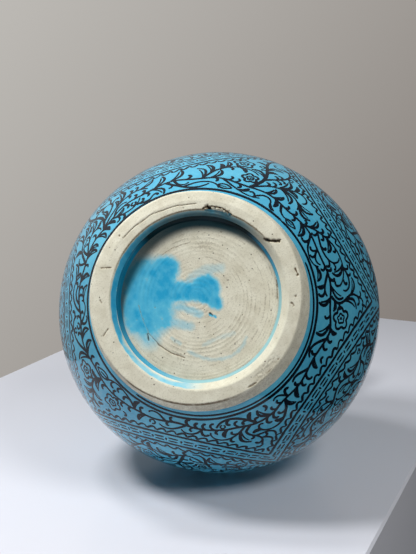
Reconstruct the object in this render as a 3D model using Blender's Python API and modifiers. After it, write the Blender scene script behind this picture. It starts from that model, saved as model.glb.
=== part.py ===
"""A globular glazed stonepaste vase, built in the sections that a potter makes and lutes together.

Every piece is turned about +Z. The origin is the centre of the standing face of the foot ring.
"""

import math

import bpy

# Driving dimensions, in metres
BODY_RADIUS = 0.085  # outside of the glaze at the belly
FOOT_OUTER_RADIUS = 0.0490  # outer edge of the standing face
FOOT_WIDTH = 0.0090  # width of the standing face; its inner edge is the wall of the foot well
FOOT_FLARE = 0.0028  # how much wider the foot is at the glaze line than at the standing face
FOOT_HEIGHT = 0.0095  # standing face to the top of the foot ring
FOOT_EDGE = 0.0012  # rounding of the two edges of the standing face
WELL_DEPTH = 0.0060  # standing face up to the floor of the foot well
NECK_RADIUS = 0.0310  # outside of the glaze at the waist of the neck
NECK_RISE = 0.0462  # waist of the neck to the top of the lip
LIP_RADIUS = 0.0460  # outside of the glaze at the lip
SHOULDER_FILLET = 0.0200  # concave radius that leads the shoulder into the neck
WALL = 0.0045  # fired clay of the thrown sections
FLOOR = 0.0070  # fired clay of the vase floor, over the foot well
GLAZE = 0.0006  # every coat of glaze
LUTING = 0.0006  # slip between two luted sections
LAP = 0.0030  # height of the half lap that centres the belly joint
NECK_SKIRT = 0.0130  # body wall that the neck piece brings with it, below the shoulder fillet
LIP_ROLL = 0.0080  # how far the outer glaze runs down inside the mouth
WELL_GLAZE_START = 0.0016  # standing face to the lower edge of the glaze in the foot well
WELL_POOL = 0.0032  # width of the glaze that pooled in the corner of the foot well
SPLASH_LENGTH = 0.0440  # glaze spilled on the floor of the foot well
SPLASH_WIDTH = 0.0300
SPLASH_TONGUE = 0.0024  # how far one end of the spill is drawn out
SPLASH_SIDE = math.radians(243.0)  # side of the foot well where it lies
SPLASH_TURN = math.radians(45.0)  # direction of the drawn-out end
CLEARANCE = 0.0003  # gap that keeps neighbouring solids apart

# Facets
SIDES = 40
ARC_STEP = math.radians(11.0)
LIP_STEPS = 6
SPLASH_POINTS = 28

# Depths of the layers below the outer face of the glaze
CLAY_OUT = GLAZE + CLEARANCE
CLAY_IN = CLAY_OUT + WALL
LINER_OUT = CLAY_IN + CLEARANCE
LINER_IN = LINER_OUT + GLAZE
MID_WALL = CLAY_OUT + WALL / 2

# Places that follow from the driving dimensions
JOINT_GAP = LUTING + 2 * CLEARANCE
FOOT_INNER_RADIUS = FOOT_OUTER_RADIUS - FOOT_WIDTH
GLAZE_LINE_RADIUS = FOOT_OUTER_RADIUS + FOOT_FLARE
BODY_CENTRE = FOOT_HEIGHT + math.sqrt(BODY_RADIUS**2 - GLAZE_LINE_RADIUS**2)
SEAT = FOOT_HEIGHT + JOINT_GAP
FLOOR_TOP = WELL_DEPTH + FLOOR
FILLET_RADIUS = NECK_RADIUS + SHOULDER_FILLET  # axis to the centre of the shoulder fillet
WAIST = BODY_CENTRE + math.sqrt((BODY_RADIUS + SHOULDER_FILLET) ** 2 - FILLET_RADIUS**2)
SHOULDER_LATITUDE = math.atan2(WAIST - BODY_CENTRE, FILLET_RADIUS)
NECK_JOINT_LATITUDE = SHOULDER_LATITUDE - NECK_SKIRT / BODY_RADIUS
LIP_CENTRE_RADIUS = LIP_RADIUS - MID_WALL
FLARE_RISE = NECK_RISE - MID_WALL
LIP_CENTRE_HEIGHT = WAIST + FLARE_RISE
FLARE_SPREAD = LIP_RADIUS - NECK_RADIUS
FLARE_RADIUS = (FLARE_RISE**2 + FLARE_SPREAD**2) / (2 * FLARE_SPREAD)  # at the middle of the wall
FLARE_ANGLE = math.asin(FLARE_RISE / FLARE_RADIUS)
WELL_FLOOR_RADIUS = FOOT_INNER_RADIUS - CLEARANCE - WELL_POOL
SPLASH_OFFSET = WELL_FLOOR_RADIUS - SPLASH_LENGTH / 2  # centre of the spill to the axis


def arc(centre, radius, start, end, step=ARC_STEP):
    """Points (r, z) on an arc from one angle to another, both ends included."""
    count = max(1, math.ceil(abs(end - start) / step))
    angles = [start + (end - start) * i / count for i in range(count + 1)]
    return [(centre[0] + radius * math.cos(a), centre[1] + radius * math.sin(a)) for a in angles]


def belly(depth, start, end):
    """The round body at a depth below the glaze, from one latitude to another."""
    return arc((0.0, BODY_CENTRE), BODY_RADIUS - depth, start, end)


def belly_latitude(depth, height):
    """The latitude at which the body, at a depth below the glaze, stands at a height."""
    return math.asin((height - BODY_CENTRE) / (BODY_RADIUS - depth))


def shoulder(depth):
    """The concave fillet between body and neck, upwards."""
    centre = (FILLET_RADIUS, WAIST)
    return arc(centre, SHOULDER_FILLET + depth, math.pi + SHOULDER_LATITUDE, math.pi)


def flare(depth, share=1.0):
    """The trumpet of the neck, from its waist upwards, to a share of its angle."""
    centre = (LIP_CENTRE_RADIUS - FLARE_SPREAD + FLARE_RADIUS, WAIST)
    return arc(centre, FLARE_RADIUS + depth - MID_WALL, math.pi, math.pi - FLARE_ANGLE * share)


def lip(radius):
    """The round end of the neck, from its outer to its inner side."""
    centre = (LIP_CENTRE_RADIUS, LIP_CENTRE_HEIGHT)
    return arc(centre, radius, -FLARE_ANGLE, math.pi - FLARE_ANGLE, math.pi / LIP_STEPS)


def joined(*stretches):
    """One list of points, without the doubles where two stretches meet."""
    points = []
    for point in (p for stretch in stretches for p in stretch):
        if not points or math.dist(points[-1], point) > CLEARANCE / 10:
            points.append(point)
    return points


def neck_curve(depth, start, share=1.0):
    """Body from a latitude up, shoulder and flare at one depth."""
    return joined(belly(depth, start, SHOULDER_LATITUDE), shoulder(depth), flare(depth, share))


def material(name, colour, roughness):
    made = bpy.data.materials.new(name)
    made.use_nodes = True
    shader = made.node_tree.nodes["Principled BSDF"]
    shader.inputs["Base Color"].default_value = (*colour, 1.0)
    shader.inputs["Roughness"].default_value = roughness
    shader.inputs["Metallic"].default_value = 0.0
    return made


def add_object(name, data, finish):
    made = bpy.data.objects.new(name, data)
    data.materials.append(finish)
    VASE.objects.link(made)
    made.parent = AXIS
    return made


def turned(name, outer_down, inner_up, finish):
    """A closed section, given down its outer side and up its inner side, turned about the axis."""
    section = joined(outer_down, inner_up)
    closed_on_axis = section[-1][0] == 0.0 and section[0][0] == 0.0
    count = len(section)
    edges = [(i, (i + 1) % count) for i in range(count - closed_on_axis)]
    mesh = bpy.data.meshes.new(name)
    mesh.from_pydata([(r, 0.0, z) for r, z in section], edges, [])
    made = add_object(name, mesh, finish)
    screw = made.modifiers.new("Turn", "SCREW")
    screw.steps = SIDES
    screw.render_steps = SIDES
    screw.use_merge_vertices = True
    screw.merge_threshold = CLEARANCE / 100
    screw.use_smooth_shade = True
    return made


def turned_bowl(name, outer_down, inner_up, finish):
    """A turned section that crosses the axis: it is rolled round so that it starts and ends there."""
    last = len(outer_down)
    loop = outer_down + inner_up
    return turned(name, loop[last:] + loop[:last], [], finish)


def foot_ring():
    """The unglazed ring that the vase stands on, with its two lower edges rounded."""
    quarter = math.pi / 2
    step = quarter / 2
    outer_round = arc((FOOT_OUTER_RADIUS - FOOT_EDGE, FOOT_EDGE), FOOT_EDGE, 0.0, -quarter, step)
    inner_round = arc((FOOT_INNER_RADIUS + FOOT_EDGE, FOOT_EDGE), FOOT_EDGE, -quarter, -2 * quarter, step)
    outer = joined([(GLAZE_LINE_RADIUS, FOOT_HEIGHT)], outer_round)
    inner = joined(inner_round, [(FOOT_INNER_RADIUS, FOOT_HEIGHT)])
    return turned("foot_ring", outer, inner, CLAY)


def foot_luting():
    """Slip between the foot ring and the seat under the bowl."""
    outer = GLAZE_LINE_RADIUS - CLAY_OUT - CLEARANCE
    low = FOOT_HEIGHT + CLEARANCE
    high = low + LUTING
    return turned(
        "foot_luting",
        [(outer, high), (outer, low)],
        [(FOOT_INNER_RADIUS, low), (FOOT_INNER_RADIUS, high)],
        SLIP,
    )


def lower_body():
    """The bowl: wall up to the belly joint, seat for the foot ring, and floor as a boss in the ring."""
    boss = FOOT_INNER_RADIUS - CLEARANCE
    middle = BODY_RADIUS - MID_WALL
    outer_edge = BODY_CENTRE - JOINT_GAP / 2
    lap_edge = outer_edge + LAP
    wall_out = belly(CLAY_OUT, belly_latitude(CLAY_OUT, outer_edge), belly_latitude(CLAY_OUT, SEAT))
    wall_in = belly(CLAY_IN, belly_latitude(CLAY_IN, FLOOR_TOP), belly_latitude(CLAY_IN, lap_edge))
    lap_radius = middle - JOINT_GAP / 2
    outer = joined(
        [(lap_radius, lap_edge), (lap_radius, outer_edge)],
        wall_out,
        [(boss, SEAT), (boss, WELL_DEPTH), (0.0, WELL_DEPTH)],
    )
    inner = joined([(0.0, FLOOR_TOP)], wall_in)
    return turned_bowl("lower_body", outer, inner, CLAY)


def belly_luting():
    """Slip in the stepped gap between the two halves of the body."""
    middle = BODY_RADIUS - MID_WALL
    half = LUTING / 2
    low = BODY_CENTRE - half
    high = BODY_CENTRE + half
    outer = BODY_RADIUS - CLAY_OUT - CLEARANCE
    inner = BODY_RADIUS - CLAY_IN + CLEARANCE
    return turned(
        "belly_luting",
        [(middle + half, high + LAP), (middle + half, high), (outer, high), (outer, low)],
        [(middle - half, low), (middle - half, low + LAP), (inner, low + LAP), (inner, high + LAP)],
        SLIP,
    )


def upper_body():
    """The shoulder: it laps over the bowl and carries the neck."""
    middle = BODY_RADIUS - MID_WALL
    outer_edge = BODY_CENTRE + JOINT_GAP / 2
    lap_edge = outer_edge + LAP
    top = NECK_JOINT_LATITUDE - JOINT_GAP / 2 / BODY_RADIUS
    wall_out = belly(CLAY_OUT, top, belly_latitude(CLAY_OUT, outer_edge))
    wall_in = belly(CLAY_IN, belly_latitude(CLAY_IN, lap_edge), top)
    lap_radius = middle + JOINT_GAP / 2
    return turned(
        "upper_body",
        wall_out,
        joined([(lap_radius, outer_edge), (lap_radius, lap_edge)], wall_in),
        CLAY,
    )


def neck_luting():
    """Slip between shoulder and neck, square to the wall."""
    half = LUTING / 2 / BODY_RADIUS
    low = NECK_JOINT_LATITUDE - half
    high = NECK_JOINT_LATITUDE + half
    outer = belly(CLAY_OUT + CLEARANCE, high, low)
    inner = belly(CLAY_IN - CLEARANCE, low, high)
    return turned("neck_luting", outer, inner, SLIP)


def neck():
    """The collar, from its joint on the shoulder through the waist to the rounded lip."""
    start = NECK_JOINT_LATITUDE + JOINT_GAP / 2 / BODY_RADIUS
    outside = neck_curve(CLAY_OUT, start)
    inside = neck_curve(CLAY_IN, start)
    round_end = lip(WALL / 2)
    return turned("neck", joined(reversed(round_end), outside[::-1]), inside[:-1], CLAY)


def roll_share():
    """The share of the flare that lies below the end of the glaze roll inside the mouth."""
    return 1.0 - LIP_ROLL / (FLARE_RADIUS * FLARE_ANGLE)


def outer_glaze():
    """The turquoise coat: from the glaze line at the foot, over the lip and a little way into the mouth."""
    bottom = FOOT_HEIGHT + CLEARANCE
    share = roll_share()
    face = neck_curve(0.0, belly_latitude(0.0, bottom))
    back = neck_curve(GLAZE, belly_latitude(GLAZE, bottom))
    mouth_face = joined(flare(LINER_IN)[-1:], flare(LINER_IN, share)[-1:])
    mouth_back = joined(flare(LINER_OUT, share)[-1:], flare(LINER_OUT)[-1:])
    outer = joined(mouth_face[::-1], lip(MID_WALL)[::-1], face[::-1])
    inner = joined(back, lip(WALL / 2 + CLEARANCE), mouth_back[::-1])
    return turned("outer_glaze", outer, inner, TURQUOISE)


def inner_glaze():
    """The coat poured round the inside: it lines the floor, the body and the neck up to the glaze roll."""
    share = roll_share() - CLEARANCE / (FLARE_RADIUS * FLARE_ANGLE)
    back_floor = FLOOR_TOP + CLEARANCE
    face_floor = back_floor + GLAZE
    back = neck_curve(LINER_OUT, belly_latitude(LINER_OUT, back_floor), share)
    face = neck_curve(LINER_IN, belly_latitude(LINER_IN, face_floor), share)
    outer = joined(back[::-1], [(0.0, back_floor)])
    inner = joined([(0.0, face_floor)], face)
    return turned_bowl("inner_glaze", outer, inner, TURQUOISE)


def well_glaze():
    """Glaze on the wall of the foot well, pooled where the wall meets the floor."""
    wall = FOOT_INNER_RADIUS - CLEARANCE
    high = WELL_DEPTH - CLEARANCE
    outer = [(wall, high), (wall, WELL_GLAZE_START)]
    pool = arc((wall - WELL_POOL, high - WELL_POOL), WELL_POOL - GLAZE, 0.0, math.pi / 2, math.pi / 8)
    inner = joined([(wall - GLAZE, WELL_GLAZE_START)], pool, [(wall - WELL_POOL, high)])
    return turned("well_glaze", outer, inner, TURQUOISE)


def splash_radius(angle):
    """The spilled glaze is an oval with one side drawn out into a tongue."""
    oval = 0.5 / math.hypot(math.cos(angle) / SPLASH_LENGTH, math.sin(angle) / SPLASH_WIDTH)
    return oval + SPLASH_TONGUE * math.cos(3 * angle)


def well_splash():
    """A thin flat spill of glaze on the floor of the foot well."""
    outline = bpy.data.curves.new("well_splash", "CURVE")
    outline.dimensions = "2D"
    outline.fill_mode = "BOTH"
    outline.extrude = GLAZE / 2
    edge = outline.splines.new("POLY")
    edge.points.add(SPLASH_POINTS - 1)
    edge.use_cyclic_u = True
    for i, point in enumerate(edge.points):
        angle = 2 * math.pi * i / SPLASH_POINTS
        radius = splash_radius(angle)
        point.co = (radius * math.cos(angle), radius * math.sin(angle), 0.0, 1.0)
    made = add_object("well_splash", outline, TURQUOISE)
    made.location = (
        SPLASH_OFFSET * math.cos(SPLASH_SIDE),
        SPLASH_OFFSET * math.sin(SPLASH_SIDE),
        WELL_DEPTH - CLEARANCE - GLAZE / 2,
    )
    made.rotation_euler = (0.0, 0.0, SPLASH_TURN)
    return made


for leftover in list(bpy.data.objects):
    bpy.data.objects.remove(leftover)

VASE = bpy.data.collections.new("vase")
bpy.context.scene.collection.children.link(VASE)
AXIS = bpy.data.objects.new("vase_axis", None)
VASE.objects.link(AXIS)

CLAY = material("stonepaste", (0.66, 0.60, 0.49), 0.85)
SLIP = material("luting_slip", (0.70, 0.65, 0.56), 0.90)
TURQUOISE = material("turquoise_glaze", (0.05, 0.33, 0.50), 0.08)

for build in (
    foot_ring,
    foot_luting,
    lower_body,
    belly_luting,
    upper_body,
    neck_luting,
    neck,
    outer_glaze,
    inner_glaze,
    well_glaze,
    well_splash,
):
    build()
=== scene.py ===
# %% [markdown]
# # A painted turquoise vase, lying with its foot to the viewer
# The real vase was thrown in sections from a pale, sandy clay, luted together, painted with black brush
# lines and covered with a clear turquoise glaze. Only its foot stayed bare. Its solids come from a packed
# model, which this lesson loads as a fixed frame and then dresses. In that frame the vase stands upright
# with the middle of its foot at the origin, so a vase that lies on its side is shown by turning the camera
# and the floor, not the vase.

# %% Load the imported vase
import math
from functools import partial

import bpy
import numpy as np
from mathutils import Matrix, Vector


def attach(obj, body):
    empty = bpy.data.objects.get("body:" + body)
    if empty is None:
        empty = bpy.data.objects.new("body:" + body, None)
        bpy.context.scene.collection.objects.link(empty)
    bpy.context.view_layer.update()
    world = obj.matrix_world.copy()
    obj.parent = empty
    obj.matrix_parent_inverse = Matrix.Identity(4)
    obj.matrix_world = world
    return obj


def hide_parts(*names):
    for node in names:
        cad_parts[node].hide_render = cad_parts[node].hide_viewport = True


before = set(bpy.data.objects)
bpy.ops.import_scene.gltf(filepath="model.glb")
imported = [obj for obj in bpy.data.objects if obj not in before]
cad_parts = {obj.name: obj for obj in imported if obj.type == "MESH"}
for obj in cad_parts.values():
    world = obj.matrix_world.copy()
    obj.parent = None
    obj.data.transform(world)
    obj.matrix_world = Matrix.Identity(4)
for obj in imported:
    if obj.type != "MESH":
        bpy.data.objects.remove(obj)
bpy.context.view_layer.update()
print("pieces in the frame:", ", ".join(sorted(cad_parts)))

# %% [markdown]
# ## Helpers for finishes
# A colour picker shows sRGB and a shader works in linear light, so one function makes that change. A second
# one adds a node, fills or links its inputs and hands back the output that is wanted. Every finish below is
# written with these two, so each line reads as one step of the finish. A third starts an empty finish and
# ties the second to it, under the short name add. A kind of node goes by its name without ShaderNode.

# %% Colour and node helpers
MM = 0.001


def linear(hex_colour):
    parts = [int(hex_colour[i:i + 2], 16) / 255 for i in (1, 3, 5)]
    return [p / 12.92 if p <= 0.04045 else ((p + 0.055) / 1.055) ** 2.4 for p in parts] + [1.0]


def add_node(tree, kind, give=0, settings=None, **inputs):
    """Add a node, set or link its inputs by name (_ for a space) or by place (_6), and return one output."""
    made = tree.nodes.new("ShaderNode" + kind)
    for key, value in (settings or {}).items():
        setattr(made, key, value)
    for key, value in inputs.items():
        socket = made.inputs[int(key[1:])] if key[1:].isdigit() else made.inputs[key.replace("_", " ")]
        if isinstance(value, bpy.types.NodeSocket):
            tree.links.new(value, socket)
        else:
            socket.default_value = value
    return made.outputs[give] if len(made.outputs) else made


def new_finish(name):
    """An empty material, add_node tied to it, and the places on the piece that its patterns follow."""
    made = bpy.data.materials.new(name)
    made.use_nodes = True
    made.node_tree.nodes.clear()
    add = partial(add_node, made.node_tree)
    return made, add, add("TexCoord", "Object")


COLOUR = {"data_type": "RGBA"}
print("linear mid grey:", round(linear("#808080")[0], 3))

# %% [markdown]
# ## The outline of the vase
# Everything on the vase is turned, so one outline gives its form: a ball for the body, a hollow curve at the
# shoulder and a trumpet for the neck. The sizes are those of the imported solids. The outline can be asked for
# at any depth below the glaze, which gives each layer of clay and glaze its faces.

# %% Outline
BODY_RADIUS = 85.0 * MM
FOOT_INNER = 40.0 * MM
GLAZE_LINE_RADIUS = 51.8 * MM
FOOT_HEIGHT = 9.5 * MM
WELL_DEPTH = 6.0 * MM
BASE_TOP = 13.0 * MM
NECK_RADIUS = 31.0 * MM
LIP_RADIUS = 46.0 * MM
NECK_RISE = 46.2 * MM
FILLET = 20.0 * MM
WALL = 4.5 * MM
GLAZE = 0.6 * MM
GAP = 0.3 * MM
CLAY_OUT = GLAZE + GAP
CLAY_IN = CLAY_OUT + WALL
MID_WALL = CLAY_OUT + WALL / 2
LINER_OUT = CLAY_IN + GAP
LINER_IN = LINER_OUT + GLAZE
BODY_CENTRE = FOOT_HEIGHT + math.sqrt(BODY_RADIUS**2 - GLAZE_LINE_RADIUS**2)
FILLET_RADIUS = NECK_RADIUS + FILLET
WAIST = BODY_CENTRE + math.sqrt((BODY_RADIUS + FILLET) ** 2 - FILLET_RADIUS**2)
SHOULDER = math.atan2(WAIST - BODY_CENTRE, FILLET_RADIUS)
FLARE_RISE = NECK_RISE - MID_WALL
FLARE_SPREAD = LIP_RADIUS - NECK_RADIUS
FLARE_RADIUS = (FLARE_RISE**2 + FLARE_SPREAD**2) / (2 * FLARE_SPREAD)
FLARE_ANGLE = math.asin(FLARE_RISE / FLARE_RADIUS)
LIP_CENTRE = np.array([LIP_RADIUS - MID_WALL, WAIST + FLARE_RISE])
SAME_POINT = 0.02 * MM


def arc(centre, radius, start, end, step=1.2 * MM):
    count = max(2, math.ceil(abs(end - start) * radius / step))
    angle = np.linspace(start, end, count + 1)
    return np.stack([centre[0] + radius * np.cos(angle), centre[1] + radius * np.sin(angle)], 1)


def joined(*stretches):
    """One line from several stretches, without the points that fall together."""
    points = np.concatenate([np.atleast_2d(s) for s in stretches])
    keep = np.r_[True, np.linalg.norm(np.diff(points, axis=0), axis=1) > SAME_POINT]
    return points[keep]


def wall_line(depth, bottom, step=1.2 * MM, share=1.0):
    """Body, shoulder and neck at a depth below the glaze, from a height up to a share of the neck's flare."""
    ball = BODY_RADIUS - depth
    start = math.asin((bottom - BODY_CENTRE) / ball)
    flare_centre = (LIP_CENTRE[0] - FLARE_SPREAD + FLARE_RADIUS, WAIST)
    return joined(
        arc((0, BODY_CENTRE), ball, start, SHOULDER, step),
        arc((FILLET_RADIUS, WAIST), FILLET + depth, math.pi + SHOULDER, math.pi, step),
        arc(flare_centre, FLARE_RADIUS + depth - MID_WALL, math.pi, math.pi - FLARE_ANGLE * share, step),
    )


GLAZE_BOTTOM = FOOT_HEIGHT + GAP
OUTLINE_LOW = 8.0 * MM
OUTLINE = wall_line(0.0, OUTLINE_LOW, 0.4 * MM)
STEPS = np.linalg.norm(np.diff(OUTLINE, axis=0), axis=1)
ALONG = np.r_[0.0, np.cumsum(STEPS)]
TANGENT = np.gradient(OUTLINE, ALONG, axis=0)
LINE_ALONG = float(np.interp(GLAZE_BOTTOM, OUTLINE[:, 1], ALONG))
LINE_TANGENT = [float(np.interp(LINE_ALONG, ALONG, TANGENT[:, i])) for i in (0, 1)]
print(f"body centre {BODY_CENTRE / MM:.1f} mm up, outline {ALONG[-1] / MM:.0f} mm long")

# %% [markdown]
# ## The camera
# The camera looks at the foot, a little off its axis. The round edge of the belly gives its distance, and
# the place of the foot in front of the belly gives the direction of the axis. Belly and lip both touch the
# floor when the vase lies down, so its axis dips 17 degrees, and that tells which way is up.

# %% Camera
CAMERA_PLACE = Vector((27.2, 86.4, -423.8)) * MM
CAMERA_RIGHT = Vector((0.73284, 0.65999, 0.16539)).normalized()
CAMERA_BACK = Vector((0.03714, 0.20390, -0.97829)).normalized()
CAMERA_UP = CAMERA_BACK.cross(CAMERA_RIGHT).normalized()
FRAME_WIDTH, FRAME_HEIGHT, FOCAL_PIXELS = 416, 554, 947

lens = bpy.data.cameras.new("foot_camera")
lens.sensor_width = 36.0
lens.lens = FOCAL_PIXELS / FRAME_HEIGHT * lens.sensor_width
camera = bpy.data.objects.new("foot_camera", lens)
turned_to = Matrix((CAMERA_RIGHT, CAMERA_UP, CAMERA_BACK)).transposed().to_4x4()
camera.matrix_world = Matrix.Translation(CAMERA_PLACE) @ turned_to
bpy.context.scene.collection.objects.link(camera)
bpy.context.scene.camera = camera


def pixel_ray(x, y):
    """The direction in which the camera sees a pixel of its 416 by 554 frame."""
    across = (x - FRAME_WIDTH / 2) / FOCAL_PIXELS
    down = (y - FRAME_HEIGHT / 2) / FOCAL_PIXELS
    return CAMERA_RIGHT * across - CAMERA_UP * down - CAMERA_BACK


camera_distance = (CAMERA_PLACE - Vector((0, 0, BODY_CENTRE))).length
print(f"camera {camera_distance / MM:.0f} mm from the middle of the belly")

# %% [markdown]
# ## Two pale floors
# One floor carries the lying vase: it touches belly and lip and ends where the picture shows its edges, with
# a small bevel and a side. The other lies under the foot, for views of the standing vase. A floor would hide
# the vase from behind, so both are see-through from below: Backfacing picks between paint and a transparent
# shader. Neither casts a shadow, so that light also reaches the back of the standing vase. The paint is a
# smooth satin white, so the vase mirrors in it faintly, with an unevenness of about 150 mm, as rolled paint
# has.

# %% Floors
LYING_UP = Vector((0.67512, -0.67512, -0.29737)).normalized()
LYING_POINT = Vector((0, 0, BODY_CENTRE)) - LYING_UP * BODY_RADIUS

floor_finish, add, place = new_finish("pale_satin_floor_paint")
rolled = add("TexNoise", Vector=place, Scale=1 / (150 * MM), Detail=2.0)
paint = add("Mix", 2, COLOUR, Factor=rolled, _6=linear("#dcdee7"), _7=linear("#e2e3eb"))
satin = add("BsdfPrincipled", Base_Color=paint, Roughness=0.22, IOR=1.30)
see_through = add("BsdfTransparent")
from_below = add("NewGeometry", "Backfacing")
one_sided = add("MixShader", Fac=from_below, _1=satin, _2=see_through)
add("OutputMaterial", Surface=one_sided)


def pale_floor(name, corners, faces):
    mesh = bpy.data.meshes.new(name)
    mesh.from_pydata([tuple(c) for c in corners], [], faces)
    mesh.materials.append(floor_finish)
    made = bpy.data.objects.new(name, mesh)
    bpy.context.scene.collection.objects.link(made)
    return made


def lying_floor_at(x, y):
    ray = pixel_ray(x, y)
    return CAMERA_PLACE + ray * ((LYING_POINT - CAMERA_PLACE).dot(LYING_UP) / ray.dot(LYING_UP))


# pixels where the far corner and the two edges from it are seen, and how far the edges go on
FAR_CORNER, ON_LEFT_EDGE, ON_RIGHT_EDGE = (181, 297), (-60, 405), (502, 331)
LEFT_REACH, RIGHT_REACH = 2.4, 0.96
BEVEL = 1.2 * MM
SLAB = LYING_UP * 0.07
far_corner = lying_floor_at(*FAR_CORNER)
left_edge = (lying_floor_at(*ON_LEFT_EDGE) - far_corner) * LEFT_REACH
right_edge = (lying_floor_at(*ON_RIGHT_EDGE) - far_corner) * RIGHT_REACH
near_right = far_corner + right_edge
bevel = right_edge.normalized() * BEVEL - LYING_UP * BEVEL
lying_floor = pale_floor(
    "lying_floor",
    [far_corner, far_corner + left_edge, near_right + left_edge, near_right, near_right + bevel,
     near_right + left_edge + bevel, near_right + bevel - SLAB, near_right + left_edge + bevel - SLAB],
    [(0, 1, 2, 3), (3, 2, 5, 4), (4, 5, 7, 6)],
)
lying_floor.visible_shadow = False
FLOOR_DROP = -0.4 * MM
REACH = 2.0
standing_corners = [(x * REACH, y * REACH, FLOOR_DROP) for x, y in ((-1, -1), (1, -1), (1, 1), (-1, 1))]
standing_floor = pale_floor("standing_floor", standing_corners, [(0, 1, 2, 3)])
standing_floor.visible_shadow = False
standing_floor.visible_diffuse = False
standing_floor.visible_glossy = False
standing_floor.visible_transmission = False
print(f"lying floor {left_edge.length:.2f} by {right_edge.length:.2f} m")

# %% [markdown]
# ## Turquoise glaze
# An alkaline glaze with copper melts to a smooth, deep turquoise glass, about half a millimetre thick. The
# eye sees a mirror-like skin and a colour that is deeper where the glaze ran thick. One noise of 26 mm gives
# the thick and thin places, a second of 2 mm gives the fine clouds of bubbles, and a faint bump of 8 mm
# makes reflections swim as they do on a coat that flowed. A value named pool, read from the mesh, is above 0
# where glaze gathered in a corner and below 0 where it is only a breath. Where the rim of the foot well
# shades the corner, pool is raised as painted shade: the corner turns navy, and far above 1 near black with
# little shine. Glass of this kind has an IOR near 1.51.

# %% Turquoise glaze
glaze_finish, add, place = new_finish("turquoise_alkaline_glaze")
runs = add("TexNoise", Vector=place, Scale=1 / (26 * MM), Detail=3.0)
bubbles = add("TexNoise", Vector=place, Scale=1 / (2 * MM), Detail=2.0)
pool = add("Attribute", "Fac", {"attribute_name": "pool"})
colour = linear("#53aecb")
# the value that a colour follows, the range over which it comes in, its greatest share and the colour
for value, low, high, most, over in [
    (runs, 0.36, 0.64, 1.0, "#40a0c3"),  # thick runs
    (bubbles, 0.45, 0.85, 0.30, "#74c5d4"),  # clouds of bubbles
    (pool, 0.0, 1.0, 1.0, "#046f90"),  # gathered in a corner
    (pool, 0.0, -1.0, 1.0, "#a9cdc6"),  # only a breath
    (pool, 1.2, 2.2, 1.0, "#062026"),  # painted shade where the rim of the well shades the pool
]:
    share = add("MapRange", Value=value, From_Min=low, From_Max=high, To_Max=most)
    colour = add("Mix", 2, COLOUR, Factor=share, _6=colour, _7=linear(over))
# the painted shade also takes most of the shine from the pool where the rim shades it
glint = add("MapRange", Value=pool, From_Min=1.2, From_Max=2.2, To_Min=0.5, To_Max=0.1)
skin = add("MapRange", Value=runs, To_Min=0.04, To_Max=0.10)
swim = add("TexNoise", Vector=place, Scale=1 / (8 * MM), Detail=1.0)
flowed = add("Bump", Height=swim, Strength=0.5, Distance=0.05 * MM)
glass = add(
    "BsdfPrincipled", Base_Color=colour, Roughness=skin, IOR=1.51, Specular_IOR_Level=glint, Normal=flowed
)
add("OutputMaterial", Surface=glass)
print("finish:", glaze_finish.name)

# %% [markdown]
# ## Black brush pigment
# The lines are an iron and chrome pigment brushed on the clay under the same glaze. The pigment dries the
# melt above it, so a line mirrors about half as much as the ground. A brush leaves the line thinner here and
# there, and the blue then shows through: a noise of 1.4 mm lets a dark teal into the black.

# %% Brush pigment
pigment_finish, add, place = new_finish("black_underglaze_pigment")
dryness = add("TexNoise", Vector=place, Scale=1 / (1.4 * MM), Detail=2.0)
thin = add("MapRange", Value=dryness, From_Min=0.60, From_Max=0.85)
black = add("Mix", 2, COLOUR, Factor=thin, _6=linear("#04101c"), _7=linear("#0e2c3b"))
skin = add("MapRange", Value=dryness, To_Min=0.05, To_Max=0.12)
glassy = add("BsdfPrincipled", Base_Color=black, Roughness=skin, IOR=1.48, Specular_IOR_Level=0.28)
add("OutputMaterial", Surface=glassy)
print("finish:", pigment_finish.name)

# %% [markdown]
# ## Bare stonepaste
# Stonepaste is ground quartz with a little clay and glass. Fired, it is cream, dull and slightly open, with
# specks and pits from coarse grains. Colour drifts over 7 mm and grain shows at 0.7 mm. Pits sit about 4 mm
# apart. Two values are read from the mesh, because they belong to places and not to the clay: soil is dirt
# and stain, and also the darkening of the foot ring's outer side, and film is the thin glaze that ran into
# the foot well. Film lets the clay through where it is weak, is mottled over 3.5 mm and is smoother than
# clay where it is full. A third value, pool, is glaze gathered in the corner of the well together with a
# painted shadow of its rim: there it turns the clay dark teal and takes most of the shine away.

# %% Bare stonepaste
clay_finish, add, place = new_finish("bare_stonepaste")
drift = add("TexNoise", Vector=place, Scale=1 / (7 * MM), Detail=4.0, Roughness=0.6)
grain = add("TexNoise", Vector=place, Scale=1 / (0.7 * MM), Detail=2.0)
pit_distance = add("TexVoronoi", "Distance", Vector=place, Scale=1 / (4 * MM))
pit = add("MapRange", Value=pit_distance, From_Min=0.10, From_Max=0.05)
soil, film, pool = (add("Attribute", "Fac", {"attribute_name": name}) for name in ("soil", "film", "pool"))
patchy = add("Math", 0, {"operation": "MULTIPLY_ADD"}, _0=grain, _1=0.5, _2=-0.25)
soil_here = add("Math", 0, {"operation": "ADD"}, _0=soil, _1=patchy)
clouds = add("TexNoise", Vector=place, Scale=1 / (3.5 * MM), Detail=4.0, Roughness=0.65)
mottle = add("MapRange", Value=clouds, From_Min=0.3, From_Max=0.7, To_Min=0.76, To_Max=1.14)
mottled = add("Math", 0, {"operation": "MULTIPLY"}, _0=film, _1=mottle)
colour = linear("#e3e0cd")
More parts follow.
